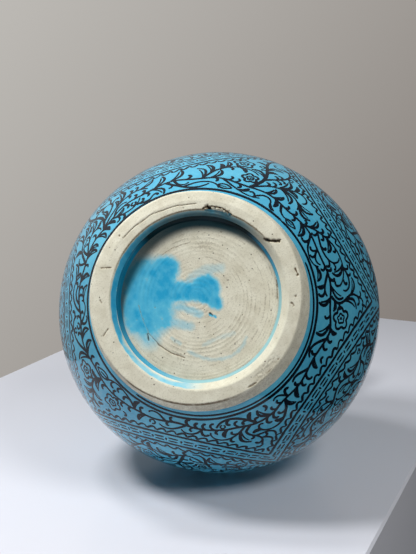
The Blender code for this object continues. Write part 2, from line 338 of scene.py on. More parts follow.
for value, low, high, most, over in [
    (drift, 0.35, 0.68, 1.0, "#d0cbb6"),  # warmer drifts
    (grain, 0.5, 0.8, 0.5, "#aba58c"),  # sandy grain
    (pit, 0.0, 1.0, 1.0, "#4a4033"),  # pits
    (soil_here, 0.08, 0.62, 1.0, "#7a6a51"),  # brown dirt, and the darker outer side of the foot ring
    (soil_here, 0.60, 0.95, 1.0, "#17130f"),  # black grime
    (mottled, 0.02, 0.60, 1.0, "#66c2dc"),  # thin film
    (mottled, 0.48, 0.98, 1.0, "#229fcb"),  # full film
    (pool, 0.0, 1.0, 1.0, "#0b333c"),  # pooled glaze and painted shadow of the well's rim
]:
    share = add("MapRange", Value=value, From_Min=low, From_Max=high, To_Max=most)
    colour = add("Mix", 2, COLOUR, Factor=share, _6=colour, _7=linear(over))
# the painted shadow also dulls the shine
glint = add("MapRange", Value=pool, To_Min=0.5, To_Max=0.08)
dull = add("MapRange", Value=film, From_Min=0.2, From_Max=1.0, To_Min=0.82, To_Max=0.32)
grit = add("Math", 0, {"operation": "SUBTRACT"}, _0=grain, _1=pit)
open_skin = add("Bump", Height=grit, Strength=0.45, Distance=0.12 * MM)
clay = add(
    "BsdfPrincipled", Base_Color=colour, Roughness=dull, IOR=1.5, Specular_IOR_Level=glint, Normal=open_skin
)
add("OutputMaterial", Surface=clay)
print("finish:", clay_finish.name)

# %% [markdown]
# ## Luting slip
# The sections were stuck together with slip, the same clay stirred to a cream. It dries finer and whiter
# than the body, and shows faint finger smears about 5 mm apart. It stays hidden in the joints, but it is a
# piece of the vase.

# %% Luting slip
slip_finish, add, place = new_finish("dried_luting_slip")
smear = add("TexNoise", Vector=place, Scale=1 / (5 * MM), Detail=3.0, Distortion=0.6)
white = add("Mix", 2, COLOUR, Factor=smear, _6=linear("#d9d2c0"), _7=linear("#ebe6d8"))
ridges = add("Bump", Height=smear, Strength=0.4, Distance=0.1 * MM)
slip = add("BsdfPrincipled", Base_Color=white, Roughness=0.9, IOR=1.5, Normal=ridges)
add("OutputMaterial", Surface=slip)

HIDDEN_FINISHES = {
    "upper_body": clay_finish,
    "neck": clay_finish,
    "foot_luting": slip_finish,
    "belly_luting": slip_finish,
    "neck_luting": slip_finish,
}
for node, finish in HIDDEN_FINISHES.items():
    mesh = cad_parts[node].data
    mesh.materials.clear()
    mesh.materials.append(finish)
print("solids kept with a new finish:", ", ".join(HIDDEN_FINISHES))

# %% [markdown]
# ## A wheel in code
# Clay is turned on a wheel, so a piece here is a closed section swept round the axis. A shaping function may
# then push the points about and mark them with soil or film: that is how a hand-made ring gets its chips and
# its dirt. Points are made in numpy, which is faster than a modifier when each one is to be moved.

# %% Turning helper
SHARP = math.radians(50)


def add_piece(name, points, faces, finish, replaced=(), marks=None):
    """Make a mesh with its marks and its finish, and let it ride on the vase."""
    mesh = bpy.data.meshes.new(name)
    mesh.from_pydata(points.tolist(), [], faces)
    for mark, value in (marks or {}).items():
        mesh.attributes.new(mark, "FLOAT", "POINT").data.foreach_set("value", value.astype(np.float32))
    mesh.shade_smooth()
    mesh.set_sharp_from_angle(angle=SHARP)
    mesh.materials.append(finish)
    made = bpy.data.objects.new(name, mesh)
    bpy.context.scene.collection.objects.link(made)
    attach(made, "root")
    if replaced:
        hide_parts(*replaced)
    print(f"{name}: {len(mesh.vertices)} points")


def turn(name, section, sides, finish, replaced, shape=None):
    """Sweep a closed section, or one that starts and ends on the axis, round the axis."""
    section = np.asarray(section)
    angle = np.arange(sides) * (2 * math.pi / sides)
    radius = np.repeat(section[:, :1], sides, 1)
    height = np.repeat(section[:, 1:], sides, 1)
    turned_by = np.repeat(angle[None, :], len(section), 0)
    marks = {}
    if shape:
        radius, height, marks = shape(radius, height, turned_by)
    points = np.stack([radius * np.cos(turned_by), radius * np.sin(turned_by), height], 2)
    on_axis = section[:, 0] == 0.0
    index, used = [], []
    for row, single in enumerate(on_axis):
        first = sum(map(len, used))
        index.append(np.full(sides, first) if single else np.arange(first, first + sides))
        used.append(points[row, :1] if single else points[row])
    pairs = list(zip(index, index[1:])) + ([] if on_axis[0] else [(index[-1], index[0])])
    faces = [
        tuple(dict.fromkeys(quad))
        for low, high in pairs
        for quad in zip(low.tolist(), high.tolist(), np.roll(high, -1).tolist(), np.roll(low, -1).tolist())
    ]
    for mark, value in marks.items():
        marks[mark] = np.concatenate([v[:1] if single else v for v, single in zip(value, on_axis)])
    add_piece(name, np.concatenate(used), faces, finish, replaced, marks)


def ease(value):
    """A soft step from 0 to 1."""
    value = np.clip(value, 0.0, 1.0)
    return value * value * (3 - 2 * value)


print("wheel ready")

# %% [markdown]
# ## The glaze coat
# The coat starts at the glaze line on the foot, covers body, shoulder and neck, and rolls over the lip into
# the mouth. No thrown body is quite true, so the coat is let in by up to 0.2 mm in broad swells and in faint
# throwing rings 6.5 mm apart, which show only in reflections. It always moves inwards, so the vase never
# outgrows its solid. At the foot the glaze ends in a rounded, wavering bead. The glaze line was wiped by
# hand and wanders by about a millimetre: its rows are slid along the outline, most at the bead and not at
# all 9 mm above it.

# %% Glaze coat
LIP_ROLL = 8.0 * MM
LIP_LOWER = 0.05 * MM
COAT_SIDES = 384
ROLL_SHARE = 1.0 - LIP_ROLL / (FLARE_RADIUS * FLARE_ANGLE)


def let_in(along, angle):
    """How far the hand-made surface lies inside the true outline."""
    swell = 0.10 + 0.045 * np.sin(2 * angle + 0.8) + 0.025 * np.sin(3 * angle + 2.0 + along / (40 * MM))
    rings = 0.012 * np.sin(2 * math.pi * along / (6.5 * MM) + 0.5 * np.sin(angle))
    ends = ease((along - LINE_ALONG) / (6 * MM)) * ease((ALONG[-1] - along) / (6 * MM))
    return (swell + rings) * MM * ends


def hand_made(along, angle):
    """Radius, height and slope of the hand-made surface at a length along the outline."""
    slope = [np.interp(along, ALONG, TANGENT[:, i]) for i in (0, 1)]
    depth = let_in(along, angle)
    radius = np.interp(along, ALONG, OUTLINE[:, 0]) - depth * slope[1]
    height = np.interp(along, ALONG, OUTLINE[:, 1]) + depth * slope[0]
    return radius, height, slope


def wander(angle, mean, once, once_side, twice, twice_side):
    """A line round the foot that swings once and twice in a turn; sizes in mm, sides in degrees."""
    swing = once * np.cos(angle - math.radians(once_side))
    swing = swing + twice * np.cos(2 * (angle - math.radians(twice_side)))
    return (mean + swing) * MM


GLAZE_LINE = (0.26, 1.05, 99, 0.55, 62)
WIPED = 9 * MM
BEAD_REACH = 0.8 * MM


def lip_round(radius):
    return arc(LIP_CENTRE - [0, LIP_LOWER], radius, -FLARE_ANGLE, math.pi - FLARE_ANGLE, 0.5 * MM)


def mouth_roll(depth):
    """The part of the coat inside the mouth, down to where the lining starts."""
    lower_end = wall_line(depth, BODY_CENTRE, 0.5 * MM, ROLL_SHARE)[-1:]
    return joined(lower_end, wall_line(depth, BODY_CENTRE, 0.5 * MM)[-15:])


face = wall_line(0.0, GLAZE_BOTTOM, 1.0 * MM)
back = wall_line(GLAZE, GLAZE_BOTTOM, 4 * MM)
BEAD = np.array([(51.95, 9.72), (52.0, 9.5), (51.92, 9.25), (51.72, 9.06), (51.4, 9.0)]) * MM
coat = joined(
    mouth_roll(LINER_IN), lip_round(MID_WALL)[::-1], face[::-1], BEAD,
    [(50.6 * MM, 9.62 * MM)], back, lip_round(WALL / 2 + GAP), mouth_roll(LINER_OUT)[::-1],
)
FACE_FIRST = len(joined(mouth_roll(LINER_IN), lip_round(MID_WALL)[::-1]))


def hand_thrown(radius, height, angle):
    rows = slice(FACE_FIRST, FACE_FIRST + len(face) - 1)
    along = np.interp(height[rows, 0], OUTLINE[:, 1], ALONG)[:, None]
    along = along + wander(angle[rows], *GLAZE_LINE) * (1 - ease((along - LINE_ALONG) / WIPED))
    radius[rows], height[rows] = hand_made(along, angle[rows])[:2]
    bead = slice(rows.stop, rows.stop + len(BEAD) + 2)
    shift = wander(angle[bead], *GLAZE_LINE)
    waver = sum(
        size * np.sin(times * angle[bead] + start)
        for size, times, start in ((0.35, 5, 1.0), (0.25, 13, 0.0), (0.15, 29, 2.0))
    )
    hang = ease((GLAZE_BOTTOM - height[bead]) / BEAD_REACH)
    height[bead] += waver * hang * 0.4 * MM + shift * LINE_TANGENT[1]
    radius[bead] += waver * hang * 0.2 * MM + shift * LINE_TANGENT[0]
    return radius, height, {}


turn("glaze_coat", coat, COAT_SIDES, glaze_finish, ["outer_glaze"], hand_thrown)

# %% [markdown]
# ## The glaze lining
# The inside was glazed by pouring glaze in, turning the vase and pouring it out. The lining runs from the
# inner floor up to the roll of the outer coat. It can be seen through the mouth, so it is turned smooth as
# well.

# %% Glaze lining
LINING_SIDES = 192
LINING_END = ROLL_SHARE - 0.02 * MM / (FLARE_RADIUS * FLARE_ANGLE)
lining_back = wall_line(LINER_OUT, BASE_TOP + GAP, 3 * MM, LINING_END)
lining_face = wall_line(LINER_IN, BASE_TOP + GAP + GLAZE, 2 * MM, LINING_END)
inner_floor = np.linspace(0.0, lining_face[0, 0], 16)[:-1]
lining = joined(
    np.stack([inner_floor, np.full(15, BASE_TOP + GAP + GLAZE)], 1), lining_face,
    lining_back[::-1], [(0.0, BASE_TOP + GAP)],
)
turn("glaze_lining", lining, LINING_SIDES, glaze_finish, ["inner_glaze"])

# %% [markdown]
# ## Marks on the foot
# Chips, scratches, pits and stains tell a used foot from a new one. Each is a short line with a width, a
# depth and a soil value, and is placed by the pixels where the camera sees it. A pixel is carried along its
# ray to the height of the standing face or of the base, so that each mark lies on the clay from any side.
# Roughness on its edge keeps a mark from looking drawn with a ruler.

# %% Marks
def ragged(x, y, size):
    """A smooth roughness from -1 to 1 over the foot, with bumps of about a size."""
    u, v = x / size * 3.0, y / size * 3.0
    first = np.sin(u + 1.3 * np.sin(0.73 * v + 0.4)) * np.sin(0.91 * v + 1.1 * np.sin(0.81 * u))
    second = np.sin(1.9 * u - 0.7 * v + 2.0) * np.sin(1.3 * v + 1.7 * u + 0.5)
    return 0.6 * first + 0.4 * second


def clay_under(x, y, height):
    ray = pixel_ray(x, y)
    return np.array(CAMERA_PLACE + ray * ((height - CAMERA_PLACE.z) / ray.z))[:2]


def distance_to(x, y, line):
    near = np.full(x.shape, 1.0)
    ends = list(zip(line, line[1:])) or [(line[0], line[0])]
    for (ax, ay), (bx, by) in ends:
        run_x, run_y = bx - ax, by - ay
        share = np.clip(((x - ax) * run_x + (y - ay) * run_y) / (run_x**2 + run_y**2 + 1e-12), 0, 1)
        near = np.minimum(near, np.hypot(x - ax - share * run_x, y - ay - share * run_y))
    return near


def mark_clay(x, y, height, marks):
    """Depth and soil that a list of marks gives to points of the clay."""
    depth, soil = np.zeros(x.shape), np.zeros(x.shape)
    for width, cut, stain, rough, pixels in marks:
        line = [clay_under(px, py, height) for px, py in pixels]
        near = distance_to(x, y, line) + rough * width * MM * ragged(x, y, 1.6 * MM)
        full = ease(1.4 * (1 - near / (width * MM)))
        depth = np.maximum(depth, cut * MM * full)
        soil = np.maximum(soil, stain * full)
    return depth, soil


# width mm, depth mm, soil, roughness of the edge, pixels along the mark
FOOT_MARKS = [
    (2.3, 1.5, 0.0, 0.5, [(208, 211), (216, 212), (226, 215)]),
    (1.2, 1.5, 1.0, 0.5, [(207, 207), (209, 208)]),
    (0.5, 0.5, 0.9, 0.4, [(203, 208), (212, 206), (222, 208), (231, 214)]),
    (0.9, 0.9, 1.0, 0.4, [(263, 239), (270, 240.5), (279, 241)]),
    (0.4, 0.3, 0.8, 0.3, [(100.7, 268), (111, 267.5)]),
    (0.35, 0.3, 0.60, 0.2, [(123, 238), (134, 227), (152, 214), (175, 206), (196, 203.5)]),
    (0.5, 0.4, 0.7, 0.5, [(119, 235.5)]),
    (0.5, 0.3, 0.6, 0.4, [(183, 208)]),
    (0.6, 0.4, 0.7, 0.6, [(295.5, 269), (298, 275)]),
    (0.6, 0.4, 0.6, 0.6, [(296, 296)]),
    (0.8, 0.4, 0.7, 0.6, [(292, 303), (293.5, 305)]),
    (0.5, 0.3, 0.7, 0.5, [(278, 359)]),
    (0.4, 0.3, 0.5, 0.4, [(100, 300), (101.5, 303)]),
    (0.4, 0.3, 0.55, 0.4, [(108, 329), (103, 336)]),
    (0.6, 0.4, 0.5, 0.6, [(249, 387), (256, 383)]),
    (0.5, 0.3, 0.45, 0.5, [(268, 372), (272, 368)]),
    (3.5, 0.25, 0.2, 0.5, [(262, 378), (276, 362)]),
    (0.8, 0.2, 0.40, 0.7, [(252, 396.5), (268, 386), (280, 374)]),
]
print(len(FOOT_MARKS), "marks on the standing face")

# %% [markdown]
# ## The foot ring
# The ring was turned, luted under the bowl and left bare so that it would not stick to the kiln shelf.
# Nothing about it is quite true. The ring sits half a millimetre off the axis, and its well is off the
# middle of the ring: the face is about 10 mm wide on one side and 6.5 mm on the other. The wall of the well
# leans in by 3.3 mm. The outer part of the face is worn to a slight bevel on one side. The top of its side
# follows the glaze line. The outer side is darker, most towards the bottom of the picture, dirt has collected
# along its lower corner and along the inner edge, and glaze covers the wall of the well on one side. Where
# the rim shades the wall at the top of the picture, it is darkened with painted shade towards the corner,
# and the bare streaks in its glaze are set where pale highlight lines run, so they are partly painted
# highlight. Which side is which is told by the clock of the picture: 0 degrees is its top, 90 degrees its
# right.

# %% Foot ring
FOOT_EDGE, FOOT_OFF, FOOT_SIDE = 49.35 * MM, 0.55 * MM, math.radians(20)
RIM_RADIUS, RIM_OFF, RIM_SIDE = 41.4 * MM, 2.3 * MM, math.radians(69.6)
WELL_FLOOR_RADIUS, WELL_OFF, WELL_SIDE = 38.1 * MM, 1.5 * MM, math.radians(60)
PICTURE_TURN = math.radians(46.8)
RING_SIDES = 720


def bent(start, corner, end, count):
    """A rounded corner between two points."""
    t = np.linspace(0, 1, count)[:, None]
    return (1 - t) ** 2 * np.array(start) + 2 * t * (1 - t) * np.array(corner) + t * t * np.array(end)


def straight(start, end, step):
    count = math.ceil(math.dist(start, end) / step)
    return np.linspace(start, end, count + 1)


def well_off(height, angle):
    """How far the wall of the well stands off true at a height."""
    share = np.clip(height / WELL_DEPTH, 0, 1)
    return RIM_OFF * np.cos(angle - RIM_SIDE) * (1 - share) + WELL_OFF * np.cos(angle - WELL_SIDE) * share


def well_wall(height):
    """Radius of the wall of the well before it is moved off true."""
    return RIM_RADIUS + (WELL_FLOOR_RADIUS - RIM_RADIUS) * height / WELL_DEPTH


def wrapped(angle):
    """The same angle within half a turn of 0."""
    return np.angle(np.exp(1j * angle))


def bell(away, width):
    """1 in the middle of a line, falling off softly over a width."""
    return np.exp(-((away / width) ** 2))


def clock_arc(angle, middle, half, soft):
    """1 within a half width of a clock angle of the picture (from its top, clockwise, in degrees), else 0."""
    away = np.abs(wrapped(angle + PICTURE_TURN - math.radians(middle)))
    return ease((math.radians(half) - away) / math.radians(soft) + 0.5)


FACE_OUT, FACE_IN = FOOT_EDGE - 0.7 * MM, RIM_RADIUS + 0.7 * MM
side_foot = (FOOT_EDGE + 0.25 * MM, 1.0 * MM)
wall_foot = (well_wall(1.0 * MM), 1.0 * MM)
toe = (WELL_FLOOR_RADIUS, WELL_DEPTH - 0.02 * MM)
ring_section = joined(
    straight((GLAZE_LINE_RADIUS, FOOT_HEIGHT), side_foot, 0.5 * MM),
    bent(side_foot, (FOOT_EDGE, 0.0), (FACE_OUT, 0.0), 10),
    straight((FACE_OUT, 0.0), (FACE_IN, 0.0), 0.3 * MM),
    bent((FACE_IN, 0.0), (RIM_RADIUS, 0.0), wall_foot, 9),
    straight(wall_foot, toe, 0.3 * MM),
    [(FOOT_INNER, WELL_DEPTH - 0.02 * MM), (FOOT_INNER, FOOT_HEIGHT)],
)


# middle, half width and softness of stretches of the ring, in degrees on the clock of the picture
WORN_SIDE = (-12, 62, 60)
# the outer side of the ring is darker towards the bottom of the picture
DARKER_OUTER_SIDE, DIRTY_TOE = (196, 50, 50), (190, 34, 24)
STAINED_RIM = (-8, 62, 30)
GLAZED_WALL, SHADED_WALL_TOP = (288, 108, 26), (358, 48, 60)
THIN_GLAZE = [(0.34, (200, 34, 24)), (0.40, (4, 44, 50))]
BARE_HIGHLIGHT_STREAKS = [(0.9, (212, 22, 12)), (1.6, (237, 5, 8)), (0.3, (249, 10, 10))]
BEVEL_START = 45.4 * MM


def worn_foot(radius, height, angle):
    true_radius = radius
    inner = np.clip((FACE_OUT - radius) / (FACE_OUT - FACE_IN), 0, 1)
    up_side = np.where(inner > 0, 0.0, np.clip(height / FOOT_HEIGHT, 0, 1))
    hidden = (radius == FOOT_INNER) & (height > 5 * MM)
    wall = (true_radius < FACE_IN) & ~hidden
    # out of round, off the axis, and up to the wandering glaze line
    low = ease(1.3 - height / (7 * MM))
    out_of_true = 0.12 * np.sin(2 * angle + 0.5) + 0.10 * np.sin(5 * angle) + 0.06 * np.sin(11 * angle + 1)
    out_of_true = out_of_true * MM
    line = wander(angle, *GLAZE_LINE) * up_side
    outer = FOOT_OFF * np.cos(angle - FOOT_SIDE) * (1 - up_side) + line * LINE_TANGENT[0] + out_of_true * low
    moved = outer * (1 - inner) + well_off(height, angle) * inner
    radius = radius + np.where(hidden, 0.0, moved)
    x, y = radius * np.cos(angle), radius * np.sin(angle)
    # marks, unevenness and wear on the standing face
    near_face = ease(1.0 - height / (2.6 * MM))
    depth, soil = mark_clay(x, y, 0.0, FOOT_MARKS)
    uneven = 0.06 + 0.05 * ragged(x, y, 14 * MM) + 0.01 * ragged(x, y, 2.2 * MM)
    bevel = 0.28 * np.clip(true_radius - BEVEL_START, 0, None) * clock_arc(angle, *WORN_SIDE)
    height = height + (depth + uneven * MM) * near_face + bevel * near_face + line * LINE_TANGENT[1]
    # the outer side darker towards the bottom of the picture; dirt along its lower corner and the rim of the
    # well
    outer_side = ease((true_radius - FOOT_EDGE + 0.1 * MM) / (0.4 * MM))
    side_darkening = 0.07 + 0.18 * clock_arc(angle, *DARKER_OUTER_SIDE) + 0.10 * ragged(x, y + height, 5 * MM)
    toe_dirt = clock_arc(angle, *DIRTY_TOE) * ease((true_radius - FACE_OUT) / (0.5 * MM))
    toe_dirt *= (0.70 + 0.25 * ragged(x, y, 4 * MM)) * bell(height - 0.9 * MM, 1.1 * MM)
    rim_dirt = 0.55 * bell(true_radius - RIM_RADIUS - 0.15 * MM, 0.45 * MM) * clock_arc(angle, *STAINED_RIM)
    soil = np.maximum(np.maximum(soil * near_face, outer_side * side_darkening), toe_dirt) + rim_dirt
    # glaze on the wall of the well, with bare streaks set where pale highlight lines run: partly painted
    # highlight
    rough_edge = 0.25 * ragged(x, y, 5 * MM) * MM
    covered = clock_arc(angle, *GLAZED_WALL) * ease((height + rough_edge - 0.55 * MM) / (0.5 * MM))
    streak = (0.02 + sum(width * clock_arc(angle, *where) for width, where in BARE_HIGHLIGHT_STREAKS)) * MM
    fullness = 0.86 - sum(less * clock_arc(angle, *where) for less, where in THIN_GLAZE)
    glazed = covered * (1 - bell(height - 4.3 * MM + rough_edge, streak))
    film = np.where(wall, glazed * (fullness + 0.1 * ragged(x, y, 7 * MM)), 0.0)
    # painted shade: on the wall at the top of the picture, which the rim shades, pool darkens it towards the
    # corner
    pool = np.where(wall, 0.74 * clock_arc(angle, *SHADED_WALL_TOP) * ease(height / (3 * MM)), 0.0)
    return radius, height, {"soil": soil, "film": film, "pool": pool}


turn("foot_ring_clay", ring_section, RING_SIDES, clay_finish, ["foot_ring"], worn_foot)

# %% [markdown]
# ## The bowl and its base
# The lower half of the body was thrown as a bowl. Its underside is the floor of the foot well, turned with a
# tool that left fine rings. Glaze was spilled there and wiped: it is a film with soft edges, so it is drawn
# as a cover value on the points of the base and not as a plate with an edge. Each patch of film is a line
# with a width, a softness and a strength, placed by pixels like the marks. The bowl's wall goes up to the
# half lap at the belly.

# %% Marks and film on the base
# width mm, depth mm, soil, roughness of the edge, pixels along the mark
BASE_MARKS = [
    (0.35, 0.25, 0.75, 0.2, [
        (138.5, 305), (141.7, 317), (148.8, 333.6), (159, 345), (171, 353), (184.5, 357.5),
    ]),
    (0.3, 0.15, 0.5, 0.2, [(161, 255.5), (172, 248), (190, 242)]),
    (0.3, 0.12, 0.35, 0.2, [(205, 257), (214, 258.5), (223, 263.5)]),
    (0.3, 0.2, 0.6, 0.2, [(276.3, 278), (277.3, 290), (277, 299)]),
    (0.45, 0.4, 1.0, 0.4, [(147.5, 334), (148.5, 340)]),
    (3.6, 0.0, 0.20, 0.4, [(200, 245), (207, 244)]),
    (0.6, 0.2, 1.10, 0.5, [(210, 313.5), (212.5, 315)]),
]
# width mm, soil and pixel of each pit
BASE_PITS = [
    (0.45, 0.9, 155, 307.5), (0.45, 0.9, 143.7, 319), (0.4, 0.9, 136.6, 320), (0.45, 0.7, 162, 319),
    (0.45, 0.8, 174.8, 341), (0.4, 0.9, 184.5, 354), (0.4, 0.8, 213.5, 334.5), (0.35, 0.8, 249, 280.5),
    (0.35, 0.7, 242.5, 314.5), (0.35, 0.7, 221, 232),
]
BASE_MARKS += [(width, 0.3, soil, 0.4, [(x, y)]) for width, soil, x, y in BASE_PITS]
# width mm, softness mm, strength, pixels along the patch
SPILLED = [
    (5.4, 5.0, 1.02, [(167, 268), (162, 275)]),
    (12.0, 9.5, 0.74, [(149, 284), (149, 309)]),
    (4.4, 4.4, 0.94, [(158, 292), (206, 291)]),
    (6.2, 4.2, 1.02, [(206, 289)]),
    (3.0, 3.2, 0.95, [(212, 297), (216, 303)]),
    (5.0, 7.0, 0.40, [(138, 318), (149, 338)]),
    (4.5, 6.0, 0.34, [(134, 268), (129, 296), (133, 322)]),
    (1.6, 2.2, 0.42, [(178, 306), (200, 314)]),
    (2.0, 2.6, 0.36, [(166, 322), (190, 326)]),
    (0.7, 1.5, 0.24, [
        (188, 351), (195, 355), (204, 358), (213, 359.5), (222, 359), (231, 356), (238, 351), (243, 345),
        (246, 338),
    ]),
    (0.9, 1.6, 0.16, [(204, 345), (218, 338), (234, 333)]),
    (0.7, 1.3, 0.22, [(172, 338), (180, 344)]),
    (2.2, 3.0, 0.24, [(192, 277), (206, 270), (220, 268)]),
    (0.6, 0.7, 0.85, [(210, 314), (215, 317)]),
]


def spilled_film(x, y):
    bare = np.ones(x.shape)
    torn = 0.45 * MM * ragged(x, y, 4 * MM) + 0.2 * MM * ragged(x, y, 1.3 * MM)
    for width, soft, strength, pixels in SPILLED:
        line = [clay_under(px, py, WELL_DEPTH) for px, py in pixels]
        cover = strength * ease((width * MM - distance_to(x, y, line) - torn) / (soft * MM) + 0.5)
        bare *= 1 - np.clip(cover, 0, 1)
    return (1 - bare) * (0.94 + 0.14 * ragged(x, y, 6 * MM))


print(len(BASE_MARKS), "marks and", len(SPILLED), "patches of film on the base")

# %% [markdown]
# Now the bowl itself. The points of its underside are close together, so that rings and marks are real
# hollows. Turning rings run round the middle of the well, which is off the middle of the vase, so radii are
# stretched to follow it.

# %% Bowl
JOINT_GAP = 1.2 * MM
BOWL_SIDES = 512
LAP = 3.0 * MM
SEAT = FOOT_HEIGHT + JOINT_GAP
MIDDLE = BODY_RADIUS - MID_WALL


def body_arc(depth, low, high, step):
    ball = BODY_RADIUS - depth
    ends = [math.asin((height - BODY_CENTRE) / ball) for height in (low, high)]
    return arc((0, BODY_CENTRE), ball, *ends, step)


# painted shadow of the rim on the base, over glaze pooled in the corner: how wide, where narrower, where
# darker
RIM_SHADOW_SIDE, RIM_SHADOW_NARROWER, RIM_SHADOW_DARKER = (336, 68, 72), (4, 30, 50), (4, 40, 56)
boss = FOOT_INNER - GAP
base_radii = np.r_[0.0, np.arange(0.6, 38.6, 0.35) * MM]
lap_low = BODY_CENTRE - JOINT_GAP / 2
bowl_section = joined(
    np.stack([base_radii, np.full(len(base_radii), WELL_DEPTH)], 1),
    [(boss, WELL_DEPTH), (boss, SEAT)],
    body_arc(CLAY_OUT, SEAT, lap_low, 5 * MM),
    [(MIDDLE - JOINT_GAP / 2, lap_low), (MIDDLE - JOINT_GAP / 2, lap_low + LAP)],
    body_arc(CLAY_IN, BASE_TOP, lap_low + LAP, 5 * MM)[::-1],
    [(0.0, BASE_TOP)],
)


def turned_base(radius, height, angle):
    base = (height == WELL_DEPTH) & (radius < boss)
    off_true = WELL_OFF * np.cos(angle - WELL_SIDE) * np.clip(radius / (20 * MM), 0, 1)
    shifted = radius + off_true * (1 - ease((radius - 32.5 * MM) / (6.5 * MM)))
    x, y = shifted * np.cos(angle), shifted * np.sin(angle)
    depth, soil = mark_clay(x, y, WELL_DEPTH, BASE_MARKS)
    ring_phase = 2 * math.pi * radius / (1.9 * MM) + 1.6 * np.sin(radius / (3.1 * MM))
    rings = 0.052 * (1 + np.sin(ring_phase) * np.sin(radius / (5.3 * MM) + 0.4 * np.sin(angle))) * MM
    uneven = 0.10 * MM * (1 + ragged(x, y, 22 * MM))
    moved = np.where(base, height + depth + rings + uneven * ease(radius / (10 * MM)), height)
    dust = 0.30 * ease(np.sin(ring_phase) * 1.6 - 0.6) * ease(0.5 + 0.6 * ragged(x, y, 9 * MM))
    film = np.where(base, spilled_film(x, y) * (1 - 0.8 * np.clip(soil, 0, 1)), 0.0)
    # painted shadow of the rim: pool darkens the base in a band along the wall of the well
    to_wall = WELL_FLOOR_RADIUS + WELL_OFF * np.cos(angle - WELL_SIDE) - shifted
    rim_shadow_width = (6.4 - 1.0 * clock_arc(angle, *RIM_SHADOW_NARROWER)) * MM * clock_arc(angle, *RIM_SHADOW_SIDE)
    strength = 0.84 + 0.14 * clock_arc(angle, *RIM_SHADOW_DARKER)
    pool = strength * ease((rim_shadow_width - to_wall) / (0.8 * rim_shadow_width + 0.2 * MM) + 0.5)
    soil = np.where(base, np.maximum(soil, dust), 0.0)
    marks = {"soil": soil, "film": film, "pool": np.where(base, pool, 0.0)}
    return np.where(base, shifted, radius), moved, marks


turn(
    "bowl_clay", bowl_section, BOWL_SIDES, clay_finish, ["lower_body", "well_splash"], turned_base
)

# %% [markdown]
# ## Glaze in the foot well
# Glaze ran down the wall of the well and pooled in its corner. Its face is a hollow curve from the wall to
# the base, with the corner as its control point, so the pool is thickest where two faces meet. On the side
# where glaze covers the wall the pool is wide and dark, and on the other side it is only a thin, pale line.
# Where the rim shades the corner, at the top and upper left of the picture, the pool is darkened further
# with painted shade, to navy and then near black.

# %% Well glaze
# rich, deep and shaded (both with painted shade) and wide stretches of the pool, and the one that is a thin
# line
POOL_STRETCHES = [(302, 100, 60), (296, 46, 44), (6, 46, 44), (315, 62, 40), (52, 26, 24)]


def well_coat(share, side, angle):
    """The section runs from 0 to 1 along the face (side 0) and back along the clay (side 1)."""
    rich, deep, shaded_brim, wide, thin_line = (clock_arc(angle, *stretch) for stretch in POOL_STRETCHES)
    waver = 0.30 * np.sin(3 * angle) + 0.22 * np.sin(7 * angle + 1) + 0.15 * np.sin(17 * angle + 2)
    start = (4.9 - 0.5 * rich + 0.3 * waver) * MM
    pool = (0.7 + 0.2 * rich + 0.4 * wide + 0.2 * waver) * MM
    top = np.stack([well_wall(start), start])
    corner = np.stack([np.full(angle.shape, WELL_FLOOR_RADIUS), np.full(angle.shape, WELL_DEPTH)])
    end = np.stack([WELL_FLOOR_RADIUS - pool, np.full(angle.shape, WELL_DEPTH + 0.03 * MM)])
    curve = (1 - share) ** 2 * top + 2 * share * (1 - share) * corner + share**2 * end
    swelling = 0.16 * MM * (1 - (2 * share - 1) ** 6)
    face = curve + swelling * np.array([-0.75, -0.66])[:, None, None]
    down_the_wall = top + (corner - top) * 2 * share
    along_the_floor = corner + (end - corner) * (2 * share - 1)
    straight_back = np.where(share < 0.5, down_the_wall, along_the_floor)
    back = straight_back + 0.12 * MM * np.array([0.75, 0.66])[:, None, None]
    radius, height = np.where(side > 0.5, back, face)
    # painted shade: the deep stretch and the one at the top darken the pool where the rim shades the corner
    gathered = 0.35 * rich + 0.9 * deep + 1.8 * shaded_brim + 0.35 * thin_line
    gathered = gathered - 0.7 * (1 - rich) * (1 - 0.9 * thin_line)
    return radius + well_off(height, angle), height, {"pool": gathered}


face_shares = np.linspace(0, 1, 21)
back_shares = np.linspace(1, 0, 7)
on_face, on_back = np.zeros_like(face_shares), np.ones_like(back_shares)
well_section = np.r_[np.stack([face_shares, on_face], 1), np.stack([back_shares, on_back], 1)]
well_section[:, 0] = np.maximum(well_section[:, 0], 1e-6)
turn("well_glaze_run", well_section, RING_SIDES, glaze_finish, ["well_glaze"], well_coat)

# %% [markdown]
# ## A flat sheet for the painting
# The painter works on a ball, but motifs are easier to plan on a flat sheet. As on a sea chart, the sheet's
# width is the angle round the vase and its height is stretched so that small shapes keep their form at every
# latitude. A grid of cells over the sheet remembers where paint lies, so that no motif runs into another.
# The traditional way of filling roundels with scrolls is followed, with motifs and vines made up here.

# %% Painter's sheet
CLIMB = np.r_[0.0, np.cumsum(STEPS / ((OUTLINE[1:, 0] + OUTLINE[:-1, 0]) / 2))]
BELLY_ALONG = math.asin((BODY_CENTRE - OUTLINE_LOW) / BODY_RADIUS) * BODY_RADIUS
CELL = 0.0045
PAINTED = np.zeros((math.ceil(CLIMB[-1] / CELL) + 1, round(2 * math.pi / CELL)), bool)
DEGREE = math.pi / 180
hand = np.random.default_rng(11)


def climb_at(along):
    return np.interp(along, ALONG, CLIMB)


def climb_at_latitude(latitude):
    return climb_at(BELLY_ALONG + np.asarray(latitude) * BODY_RADIUS)


def girth(climb):
    """Radius of the vase at a height of the sheet: metres for each unit of the sheet."""
    return np.interp(climb, CLIMB, OUTLINE[:, 0])


def cells(points):
    row = np.clip((points[:, 1] / CELL).astype(int), 0, PAINTED.shape[0] - 1)
    return row, (points[:, 0] / CELL).astype(int) % PAINTED.shape[1]


